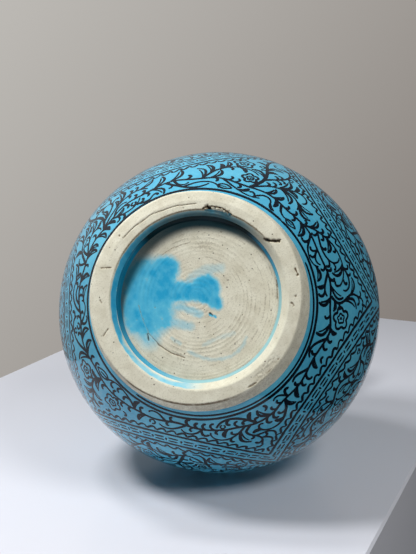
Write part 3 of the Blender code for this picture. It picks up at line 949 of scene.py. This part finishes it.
def is_free(points):
    inside = (points[:, 1] > 0) & (points[:, 1] < CLIMB[-1])
    return inside.all() and not PAINTED[cells(points)].any()


def fill(points, clear):
    """Mark the cells within a clear distance of a line as painted."""
    row, column = cells(points)
    reach = int(clear / girth(points[:, 1].mean()) / CELL + 0.5)
    for i in range(-reach, reach + 1):
        for j in range(-reach, reach + 1):
            if i * i + j * j <= reach * reach:
                PAINTED[np.clip(row + i, 0, PAINTED.shape[0] - 1), (column + j) % PAINTED.shape[1]] = True


print(f"sheet 6.28 by {CLIMB[-1]:.2f}, {PAINTED.size} cells")

# %% [markdown]
# ## One brush line
# A loaded brush makes a line that swells and thins. Each line is kept as points on the sheet with a width at
# each point. Lines are sorted into layers, one for each part of the pattern.

# %% Brush lines
LAYERS = {"bands": [], "roundels": [], "vines": [], "petals": []}


def even(points, step):
    """The same line with its points an even distance apart on the vase."""
    scale = girth((points[1:, 1] + points[:-1, 1]) / 2)
    length = np.r_[0.0, np.cumsum(np.linalg.norm(np.diff(points, axis=0), axis=1) * scale)]
    at = np.linspace(0.0, length[-1], max(3, math.ceil(length[-1] / step) + 1))
    return np.stack([np.interp(at, length, points[:, i]) for i in (0, 1)], 1)


def brush(layer, points, widths, clear, step=0.5 * MM):
    """Keep one line; its widths in mm run evenly from start to end."""
    points = even(np.asarray(points), step)
    width = np.interp(np.linspace(0, 1, len(points)), np.linspace(0, 1, len(widths)), widths)
    width = width * MM * hand.uniform(0.88, 1.12)
    LAYERS[layer].append((points, width))
    fill(points, clear * MM + width.mean() / 2)


def brush_where(kept, layer, points, *how):
    """Keep only the stretches of a line at which a test holds."""
    breaks = np.flatnonzero(np.diff(kept.astype(int))) + 1
    for stretch, keep in zip(np.split(points, breaks), np.split(kept, breaks)):
        if keep[0] and len(stretch) > 2:
            brush(layer, stretch, *how)


print("layers:", ", ".join(LAYERS))

# %% [markdown]
# ## Bands
# Two rings close to the glaze line frame the foot. They were drawn by hand, off the middle of the foot, so
# on one side the first of them is lost at the edge where the glaze was wiped away. Two more close the body
# below the shoulder, another pair sits at the waist of the neck and a last one below the lip. A ring drawn
# on a turning wheel sways only a little. Nothing is to grow below the foot bands, so those cells are taken.

# %% Bands
SHOULDER_ALONG = BELLY_ALONG + SHOULDER * BODY_RADIUS
WAIST_ALONG = SHOULDER_ALONG + FILLET * SHOULDER
LIP_ALONG = ALONG[-1]
TOP_BAND = 48.0 * DEGREE
FIRST_FOOT_BAND = (0.48, 2.83, 97, 0.79, 72)
SECOND_FOOT_BAND = (2.66, 2.81, 93, 0.72, 82)
BANDS = [
    (BELLY_ALONG + TOP_BAND * BODY_RADIUS, 1.6), (BELLY_ALONG + (TOP_BAND + 1.8 * DEGREE) * BODY_RADIUS, 1.1),
    (WAIST_ALONG - 5.2 * MM, 1.1), (WAIST_ALONG - 2.9 * MM, 1.5),
    (LIP_ALONG - 6.2 * MM, 1.1), (LIP_ALONG - 3.6 * MM, 1.6),
]
round_the_vase = np.linspace(0, 2 * math.pi, 400)
for path, width in [(FIRST_FOOT_BAND, 1.2), (SECOND_FOOT_BAND, 1.45)]:
    above = wander(round_the_vase, *path)
    on_glaze = above > wander(round_the_vase, *GLAZE_LINE) + 0.55 * MM
    line = np.stack([round_the_vase, climb_at(LINE_ALONG + above)], 1)
    brush_where(on_glaze, "bands", line, [width, width], 0.4, 1.3 * MM)
for along, width in BANDS:
    climb = float(climb_at(along))
    sway = 0.12 * MM * np.sin(3 * round_the_vase + hand.uniform(0, 6)) / girth(climb)
    brush("bands", np.stack([round_the_vase, climb + sway], 1), [width, width], 0.5, 1.3 * MM)
below_bands = climb_at(LINE_ALONG + wander(np.arange(PAINTED.shape[1]) * CELL, *SECOND_FOOT_BAND))
PAINTED |= np.arange(PAINTED.shape[0])[:, None] * CELL < below_bands
print(2 + len(BANDS), "bands")

# %% [markdown]
# ## Roundels
# Five large roundels stand round the belly, not quite evenly and not quite of one size, as a painter judges
# them by eye. Where two meet, each stops at the other, which leaves a pointed gap above and below. Each has
# a line on both sides of a row of paired dashes with a tick between the pairs, and a scalloped edge on both
# sides. A roundel is a circle on the ball, so its points are worked out on the ball and then carried to the
# sheet. Scallops lean one way, as strokes made in one direction do.

# %% Roundels
# longitude and latitude of the middle and size, from the middle to the outer line, in degrees
ROUNDELS = DEGREE * np.array(
    [(12.2, 1.5, 34.2), (76.5, 2.5, 40.2), (144.9, 0.6, 40.4), (220.7, 1.0, 39.0), (296.4, 1.0, 38.0)]
)
DASHES, OUTER_SCALLOPS, INNER_SCALLOPS = 46, 70, 54


def direction_of(longitude, latitude):
    flat = np.cos(latitude)
    up = np.sin(latitude) + 0 * longitude
    return np.stack([flat * np.cos(longitude), flat * np.sin(longitude), up], -1)


MIDDLES = direction_of(ROUNDELS[:, 0], ROUNDELS[:, 1])


def on_roundel(which, beyond, around):
    """Sheet points at an angle beyond the edge of a roundel, and which of them no other roundel takes."""
    longitude, latitude, size = ROUNDELS[which]
    middle = MIDDLES[which]
    east = direction_of(longitude + math.pi / 2, 0 * latitude)
    north = np.cross(middle, east)
    spread = (size + beyond + 0 * around)[:, None]
    sideways = np.cos(around)[:, None] * east + np.sin(around)[:, None] * north
    place = np.cos(spread) * middle + np.sin(spread) * sideways
    turned_by = np.arctan2(place[:, 1], place[:, 0]) - longitude
    sheet = np.stack([longitude + wrapped(turned_by), climb_at_latitude(np.arcsin(place[:, 2]))], 1)
    to_others = np.arccos(np.clip(place @ np.delete(MIDDLES, which, 0).T, -1, 1))
    beyond_others = (to_others - np.delete(ROUNDELS[:, 2], which)).min(1)
    return sheet, beyond_others >= beyond + 0 * around


full_circle = np.linspace(0, 2 * math.pi, 720)
for which in range(len(ROUNDELS)):
    for beyond, width in [(0.0, 1.3), (-5.2, 1.3)]:
        wave = (beyond + 0.12 * np.sin(4 * full_circle + hand.uniform(0, 6))) * DEGREE
        line, own = on_roundel(which, wave, full_circle)
        brush_where(own, "roundels", line, [width, width], 0.35, 1.2 * MM)
for which in range(len(ROUNDELS)):
    pitch = 2 * math.pi / DASHES
    for k in range(DASHES):
        start = pitch * (k + hand.uniform(-0.05, 0.05))
        dash = np.linspace(start, start + 0.68 * pitch, 8)
        tick = (np.linspace(-3.3, -1.9, 8), np.full(8, start + 0.84 * pitch))
        for beyond, around in [(np.full(8, -1.85), dash), (np.full(8, -3.35), dash), tick]:
            line, own = on_roundel(which, beyond * DEGREE, around)
            if own.all():
                brush("roundels", line, [0.95, 1.1], 0.2, 1.2 * MM)
    for count, edge, bulge in [(OUTER_SCALLOPS, 0.9, 1.5), (INNER_SCALLOPS, -6.1, -1.5)]:
        for k in range(count):
            share = np.linspace(0, 1, 11)
            bump = edge + bulge * np.sin(math.pi * share**0.6)
            line, own = on_roundel(which, bump * DEGREE, (k + share) * 2 * math.pi / count)
            if own.all():
                brush("roundels", line, [0.9, 1.25, 1.0], 0.3)
print(len(LAYERS["roundels"]), "lines in", len(ROUNDELS), "roundels")

# %% [markdown]
# ## Petals on the shoulder
# A ring of upright petals leads from the body to the neck: each is a pointed arch with a smaller arch and a
# vein inside.

# %% Petals
PETALS = 20
petal_low = float(climb_at_latitude(TOP_BAND + 2.9 * DEGREE))
petal_high = float(climb_at(WAIST_ALONG - 7.5 * MM))
up_share = np.linspace(0, 1, 16)
for k in range(PETALS):
    half = math.pi / PETALS
    middle = (2 * k + 1) * half
    for reach, width, wide in [(1.0, 1.15, 0.92), (0.72, 0.8, 0.58)]:
        bulge = half * wide * np.cos(up_share * math.pi / 2) ** 0.62 * (1 - 0.12 * up_share)
        climb = petal_low + (petal_high - petal_low) * up_share * reach
        left, right = (np.stack([middle + side * bulge, climb], 1) for side in (-1, 1))
        brush("petals", np.r_[left, right[::-1][1:]], [width, width], 0.3)
    vein_climb = np.linspace(petal_low, petal_low + (petal_high - petal_low) * 0.42, 8)
    vein = np.stack([np.full(8, middle), vein_climb], 1)
    brush("petals", vein, [1.5, 0.5], 0.3)
print(PETALS, "petals")

# %% [markdown]
# ## Motifs
# The vines carry a handful of motifs: tendrils, split leaves with a heavy back and a hooked tip, pointed
# leaves, flowers seen from above and from the side, hooks and berries. Each is drawn in units of its own
# size, with its stem at the origin and pointing along +x, and has brush widths in mm. The last line draws a
# berry.

# %% Motifs
def curl(first, last, count):
    """A line of length 1 whose bend goes from first to last, in radians for its length."""
    t = np.linspace(0, 1, count)
    heading = first * t + (last - first) * t * t / 2
    step = np.stack([np.cos(heading), np.sin(heading)], 1) / count
    return np.r_[[[0, 0]], np.cumsum(step, axis=0)]


def sweep(middle, tip):
    """A quadratic curve from the origin by way of a middle point to a tip."""
    t = np.linspace(0, 1, 12)[:, None]
    return 2 * t * (1 - t) * np.array([middle]) + t * t * np.array([tip])


def motif(kind, side):
    t = np.linspace(0, 1, 12)
    swell = np.sin(math.pi * t**0.78)
    if kind == "tendril":
        return [(curl(side * hand.uniform(-1.2, 1.2), -side * hand.uniform(3.0, 7.0), 30), [1.3, 1.1, 0.85])]
    if kind == "split leaf":
        back = (sweep((0.95, -0.12 * side), (0.84, 0.56 * side)), [0.9, 1.4, 1.05])
        inner = (sweep((0.50, 0.10 * side), (0.74, 0.44 * side)), [0.85, 0.85, 0.7])
        return [back, inner]
    if kind == "leaf":
        lean = -0.16 * side * t * t
        edges = [(np.stack([t, lean + s * 0.24 * swell], 1), [1.0, 1.0, 0.8]) for s in (1, -1)]
        return edges + [(np.stack([0.66 * t, 0.66 * lean], 1), [0.8, 0.6])]
    if kind == "tulip":
        outer = 0.42 * swell + 0.12 * t
        heart = 0.20 * np.sin(math.pi * t)
        petals = [(np.stack([t, s * outer], 1), [1.2, 1.0, 0.85]) for s in (1, -1)]
        return petals + [(np.stack([0.22 + 0.62 * t, s * heart], 1), [0.9, 0.75]) for s in (1, -1)]
    turn_of = np.linspace(0, 2 * math.pi, 70)
    ring = np.stack([np.cos(turn_of), np.sin(turn_of)], 1)
    if kind == "blossom":
        lobes = np.abs(np.sin(5 * turn_of / 2))
        outline = (ring * (0.66 + 0.34 * lobes)[:, None] + [1.35, 0], [1.0, 1.1, 1.0])
        heart = (ring * (0.30 + 0.14 * lobes)[:, None] + [1.35, 0], [0.85, 0.85])
        eye = (0.09 * ring[::6] + [1.35, 0], [0.9, 0.9])
        return [outline, heart, eye, ([[0, 0], [0.3, 0], [0.6, 0]], [0.9, 2.0])]
    if kind == "hook":
        return [(curl(0.0, 6.0 * side, 14), [0.85, 1.25, 1.25])]
    return [(ring[::7] + [1.9, 0], [0.95, 0.95]), ([[0, 0], [0.5, 0], [0.9, 0]], [0.85, 0.85])]


print("tendril, split leaf, leaf, tulip, blossom, hook, berry")

# %% [markdown]
# ## Stems
# Main stems come first. A vine runs between the foot bands and the roundels, another between the roundels
# and the shoulder, and an S-shaped stem rises from them into each pointed gap. Each roundel has a waving
# ring and an S-shaped stem, and the neck a vine. Places where a leaf may grow are noted along each stem,
# left and right in turn.

# %% Stems
SPROUTS = []
SPROUT_STEP = 0.5


def sprout_along(points, spacing, side):
    """Note places to sprout along a line, a spacing in mm apart and on its two sides in turn."""
    points = even(points, SPROUT_STEP * MM)
    hop = max(1, int(spacing / SPROUT_STEP))
    for i in range(hop // 2, len(points) - 1, hop):
        run = points[i + 1] - points[i - 1]
        SPROUTS.append((points[i], math.atan2(run[1], run[0]), side))
        side = -side


def stem(points, widths):
    brush("vines", points, widths, 0.5, 0.9 * MM)
    sprout_along(points, 2.1, hand.choice([-1, 1]))


def roundel_end(longitude, side):
    """Latitude where the roundels end, below (side -1) or above (side 1) the belly."""
    reach = ROUNDELS[:, 2] + 2.6 * DEGREE
    away = wrapped(longitude[:, None] - ROUNDELS[:, 0])
    half = np.arccos(np.clip(np.cos(reach) / np.maximum(np.cos(away), 0.05), -1, 1))
    return side * np.where(np.abs(away) < reach, half + side * ROUNDELS[:, 1], 0.0).max(1)


round_the_vase = np.linspace(0, 2 * math.pi, 721)
foot_end = (LINE_ALONG + wander(round_the_vase, *SECOND_FOOT_BAND) - BELLY_ALONG) / BODY_RADIUS
t = np.linspace(0, 1, 70)
for side, band_end in [(-1, foot_end), (1, np.full(721, TOP_BAND))]:
    open_to = roundel_end(round_the_vase, side)
    vine = band_end + np.clip(0.48 * (open_to - band_end), -6 * DEGREE, 6 * DEGREE)
    vine = vine + 0.5 * DEGREE * np.sin(15 * round_the_vase + side)
    stem(np.stack([round_the_vase, climb_at_latitude(vine)], 1), [1.3, 1.3])
    for k in range(len(ROUNDELS)):
        between = np.linspace(ROUNDELS[k - 1, 0], ROUNDELS[k, 0] + (2 * math.pi if k == 0 else 0), 200)
        gap_end = np.abs(roundel_end(between, side))
        cusp = between[gap_end.argmin()]
        start = float(np.interp(cusp % (2 * math.pi), round_the_vase, vine))
        rise = start + (side * (gap_end.min() + 3.5 * DEGREE) - start) * t
        sway = 0.07 * np.sin(2 * math.pi * t) * (1 - t)
        stem(np.stack([cusp + sway, climb_at_latitude(rise)], 1), [1.5, 1.0])
for which in range(len(ROUNDELS)):
    wave = (-12.5 + 1.8 * np.sin(11 * full_circle + which)) * DEGREE
    stem(on_roundel(which, wave, full_circle)[0], [1.3, 1.3])
    sway = hand.choice([-1, 1]) * 0.10 * np.sin(2 * math.pi * t)
    stem(np.stack([ROUNDELS[which, 0] + sway, climb_at_latitude((-15 + 30 * t) * DEGREE)], 1), [1.5, 1.1])
NECK_ZONE = float(climb_at((WAIST_ALONG + LIP_ALONG - 8 * MM) / 2))
stem(np.stack([round_the_vase, NECK_ZONE + 0.26 * np.sin(6 * round_the_vase + 0.4)], 1), [1.3, 1.3])
print(len(SPROUTS), "places to sprout on the main stems")

# %% [markdown]
# ## Letting the vines grow
# Filling goes from large to small, as a painter does it: flowers and long tendrils first, then leaves and
# hooks in what is left. A motif is tried at each sprout and kept only if its cells are free. Near its own
# stem it may touch. Leaves leave the stem at a small angle and point along its growth. The cell ahead is
# looked up first, which throws most tries out at once and keeps this step to a few seconds. Last, loose
# flowers, leaves and rings are tucked into the spots that are still open, again from large to small, so that
# the ground is evenly covered.

# %% Growth
# how far a motif leans from its stem (radians), where room for it is looked up (its own sizes), how near its
# stem it may touch (mm) and the ground kept clear round a line (mm)
LEAN = {"split leaf": (0.10, 0.55), "hook": (0.15, 0.60), "blossom": (0.7, 1.5), "berry": (0.6, 1.5)}
LOOK = {"tendril": 0.15, "berry": 1.9, "blossom": 1.35}
AT_STEM = {"tendril": 2.4, "blossom": 1.2}
CLEAR = 0.42


def draw(lines, scale, ahead, spot):
    """Lines of a motif at their size, turned ahead and set on a spot of the sheet."""
    spin = np.array([[ahead[0], ahead[1]], [-ahead[1], ahead[0]]]) * scale
    return [(np.asarray(line) @ spin + spot, widths) for line, widths in lines]


def grow(kind, spot, heading, side, size):
    """Paint a motif at a sprout if there is room for it."""
    lean = heading + side * hand.uniform(*LEAN.get(kind, (0.5, 1.1)))
    ahead = np.array([math.cos(lean), math.sin(lean)])
    scale = size / girth(spot[1])
    if not is_free((spot + ahead * scale * LOOK.get(kind, 0.7))[None]):
        return
    lines = draw(motif(kind, side), scale, ahead, spot)
    probe = np.concatenate([line for line, widths in lines])
    away = probe[np.linalg.norm(probe - spot, axis=1) * girth(spot[1]) > AT_STEM.get(kind, 2.0) * MM]
    if not len(away) or not is_free(away):
        return
    for line, widths in lines:
        brush("vines", line, widths, CLEAR)
    if kind == "tendril":
        sprout_along(lines[0][0], 1.9, side)


around_spot = np.linspace(0, 2 * math.pi, 15)[:-1]
SPOT_RING = np.stack([np.cos(around_spot), np.sin(around_spot)], 1)
SPOT_PROBES = np.r_[[[0.0, 0.0]], 0.55 * SPOT_RING, 1.1 * SPOT_RING]


def tuck_in(kind, spot, size):
    """Paint a loose motif, turned by chance, if a round spot of its size is open."""
    radius = size / girth(spot[1])
    if not is_free(spot + SPOT_PROBES * radius):
        return
    lines = motif(kind, hand.choice([-1, 1]))
    drawn = np.concatenate([line for line, widths in lines])
    middle = (drawn.min(0) + drawn.max(0)) / 2
    reach = np.linalg.norm(drawn - middle, axis=1).max()
    heading = hand.uniform(0, 2 * math.pi)
    lines = [(np.asarray(line) - middle, widths) for line, widths in lines]
    for line, widths in draw(lines, radius / reach, (math.cos(heading), math.sin(heading)), spot):
        brush("vines", line, widths, CLEAR)


# motif, size in mm and the share of sprouts at which it is tried
PASSES = [
    ("blossom", 5.0, 0.10), ("tendril", 34, 0.5), ("tendril", 28, 0.6), ("split leaf", 10.5, 0.35),
    ("blossom", 4.5, 0.12), ("tendril", 22, 0.6), ("split leaf", 9.5, 0.7), ("tulip", 9.0, 0.2),
    ("tendril", 17, 0.6), ("split leaf", 8.6, 0.9), ("blossom", 4.0, 0.12), ("leaf", 8.0, 0.35),
    ("tendril", 13, 0.7), ("split leaf", 7.6, 0.9), ("tulip", 7.6, 0.25), ("split leaf", 6.6, 0.9),
    ("tendril", 10, 0.7), ("leaf", 6.4, 0.5), ("split leaf", 5.8, 0.9), ("hook", 6.0, 0.9),
    ("split leaf", 5.0, 0.9), ("hook", 4.8, 1.0), ("berry", 1.3, 0.7),
]
for kind, size, share in PASSES:
    for spot, heading, side in list(SPROUTS):
        if hand.random() < share:
            grow(kind, spot, heading, side, size * hand.uniform(0.88, 1.12) * MM)
on_stems = len(LAYERS["vines"])
# radius in mm of an open spot, number of tries and motifs to choose from
LOOSE = [
    (4.8, 3000, ("blossom", "tulip")), (4.0, 4000, ("blossom", "tulip", "split leaf")),
    (3.2, 6000, ("split leaf", "leaf")), (2.6, 8000, ("split leaf", "leaf")),
    (2.1, 9000, ("hook", "split leaf")), (1.7, 9000, ("hook", "berry")),
]
for size, tries, kinds in LOOSE:
    spots = np.stack([hand.uniform(0, 2 * math.pi, tries), climb_at(hand.uniform(0, ALONG[-1], tries))], 1)
    for spot in spots:
        tuck_in(kinds[int(hand.integers(len(kinds)))], spot, size * MM)
print(on_stems, "lines grown on stems and", len(LAYERS["vines"]) - on_stems, "tucked in")

# %% [markdown]
# ## Laying the paint
# A painted line could be a texture, but at this size each line is only about a millimetre wide and there are
# thousands, so each becomes a thin ribbon of paint on the glaze: a closed strip with a left edge, a crown
# and a right edge. The edges lie just under the skin of the glaze and the crown 0.03 mm above it, so the
# strip follows the curve and catches the same reflections. Pigment spreads a little in the melting glaze, so
# a line ends up wider than it was brushed. It starts and ends narrower, as a brush does.

# %% Paint ribbons
SUNK, CROWN = 0.006 * MM, 0.034 * MM
SPREAD = 1.09
TAPER = 0.55
SEEN_SHARE = CROWN / (CROWN + SUNK)


def on_vase(points):
    """Places on the coat, and its outward direction, for points of the sheet."""
    radius, height, slope = hand_made(np.interp(points[:, 1], CLIMB, ALONG), points[:, 0])
    c, s = np.cos(points[:, 0]), np.sin(points[:, 0])
    return np.stack([radius * c, radius * s, height], 1), np.stack([slope[1] * c, slope[1] * s, -slope[0]], 1)


def lay_paint(layer):
    verts, faces, first = [], [], 0
    for points, width in LAYERS[layer]:
        place, out = on_vase(points)
        across = np.cross(out, np.gradient(place, axis=0))
        length = np.maximum(np.linalg.norm(across, axis=1), 1e-12)
        across *= (SPREAD * width / 2 / SEEN_SHARE / length)[:, None]
        across[[0, -1]] *= TAPER
        low = place - out * SUNK
        count = len(points)
        verts.append(np.stack([low - across, place + out * CROWN, low + across], 1).reshape(-1, 3))
        row = first + 3 * np.arange(count - 1)
        for a, b in ((0, 1), (1, 2), (2, 0)):
            faces += np.stack([row + b, row + a, row + 3 + a, row + 3 + b], 1).tolist()
        last = first + 3 * (count - 1)
        faces += [[first, first + 1, first + 2], [last + 2, last + 1, last]]
        first += 3 * count
    add_piece("painted_" + layer, np.concatenate(verts), faces, pigment_finish)


for layer in LAYERS:
    lay_paint(layer)

# %% [markdown]
# ## Studio light
# Four round lamps light the vase. Two on the upper left throw its shadow down to the right, and the higher
# of them also shades the foot well. A softer one on the right, nearer the camera, lifts the shadows. A weak
# one far below and behind shines through the back of the lying floor and lights the back of the standing
# vase. None of them is seen or mirrored. The surroundings add a plain fill that is stronger from above the
# standing vase. Camera rays see a warm grey backdrop instead, a little lighter towards the lamps, and the
# glaze mirrors a wider range of the same greys.

# %% Light and backdrop
# name, direction from the middle of the belly (right, up and towards the camera), distance m, size m, watts
LAMPS = [
    ("key_panel", (-0.55, 0.75, 0.36), 0.60, 0.15, 2.65),
    ("top_panel", (-0.40, 0.90, 0.10), 0.60, 0.12, 1.15),
    ("soft_panel", (0.42, 0.55, 0.72), 0.90, 0.30, 3.65),
    ("back_panel", (0.11, -0.66, -0.74), 0.80, 0.50, 0.9),
]
for name, (to_right, to_up, to_back), distance, size, watts in LAMPS:
    towards = (to_right * CAMERA_RIGHT + to_up * CAMERA_UP + to_back * CAMERA_BACK).normalized()
    panel = bpy.data.lights.new(name, "AREA")
    panel.shape = "DISK"
    panel.size = size
    panel.energy = watts
    lamp = bpy.data.objects.new(name, panel)
    lamp.location = Vector((0, 0, BODY_CENTRE)) + towards * distance
    lamp.rotation_euler = towards.to_track_quat("Z", "Y").to_euler()
    lamp.visible_camera = False
    lamp.visible_glossy = False
    bpy.context.scene.collection.objects.link(lamp)

world = bpy.data.worlds.new("studio")
world.use_nodes = True
world.node_tree.nodes.clear()
bpy.context.scene.world = world
add = partial(add_node, world.node_tree)
DOT = {"operation": "DOT_PRODUCT"}
direction = add("TexCoord", "Generated")
LIGHTER_SIDE = (-0.326 * CAMERA_RIGHT + 0.273 * CAMERA_UP).normalized()
towards_light = add("VectorMath", "Value", DOT, _0=direction, _1=LIGHTER_SIDE)
lightness = add("MapRange", Value=towards_light, From_Min=-0.197, From_Max=0.345)
backdrop = add("Mix", 2, COLOUR, Factor=lightness, _6=linear("#857e79"), _7=linear("#bdbab5"))
seen = add("Background", Color=backdrop, Strength=1.0)
wide = add("MapRange", Value=towards_light, From_Min=-0.25, From_Max=0.85)
mirrored = add("Mix", 2, COLOUR, Factor=wide, _6=linear("#484a4e"), _7=linear("#eceff1"))
in_glaze = add("Background", Color=mirrored, Strength=0.85)
upward = add("VectorMath", "Value", DOT, _0=direction, _1=Vector((0, 0, 1)))
overhead = add("MapRange", Value=upward, From_Min=0.1, From_Max=0.9, To_Min=0.02, To_Max=0.80)
fill_light = add("Background", Color=linear("#fbfaf8"), Strength=overhead)
by_mirror = add("LightPath", "Is Glossy Ray")
by_camera = add("LightPath", "Is Camera Ray")
lit = add("MixShader", Fac=by_mirror, _1=fill_light, _2=in_glaze)
shown = add("MixShader", Fac=by_camera, _1=lit, _2=seen)
add("OutputWorld", Surface=shown)
bpy.context.scene.view_settings.view_transform = "Standard"
print(len(LAMPS), "lamps and a backdrop")
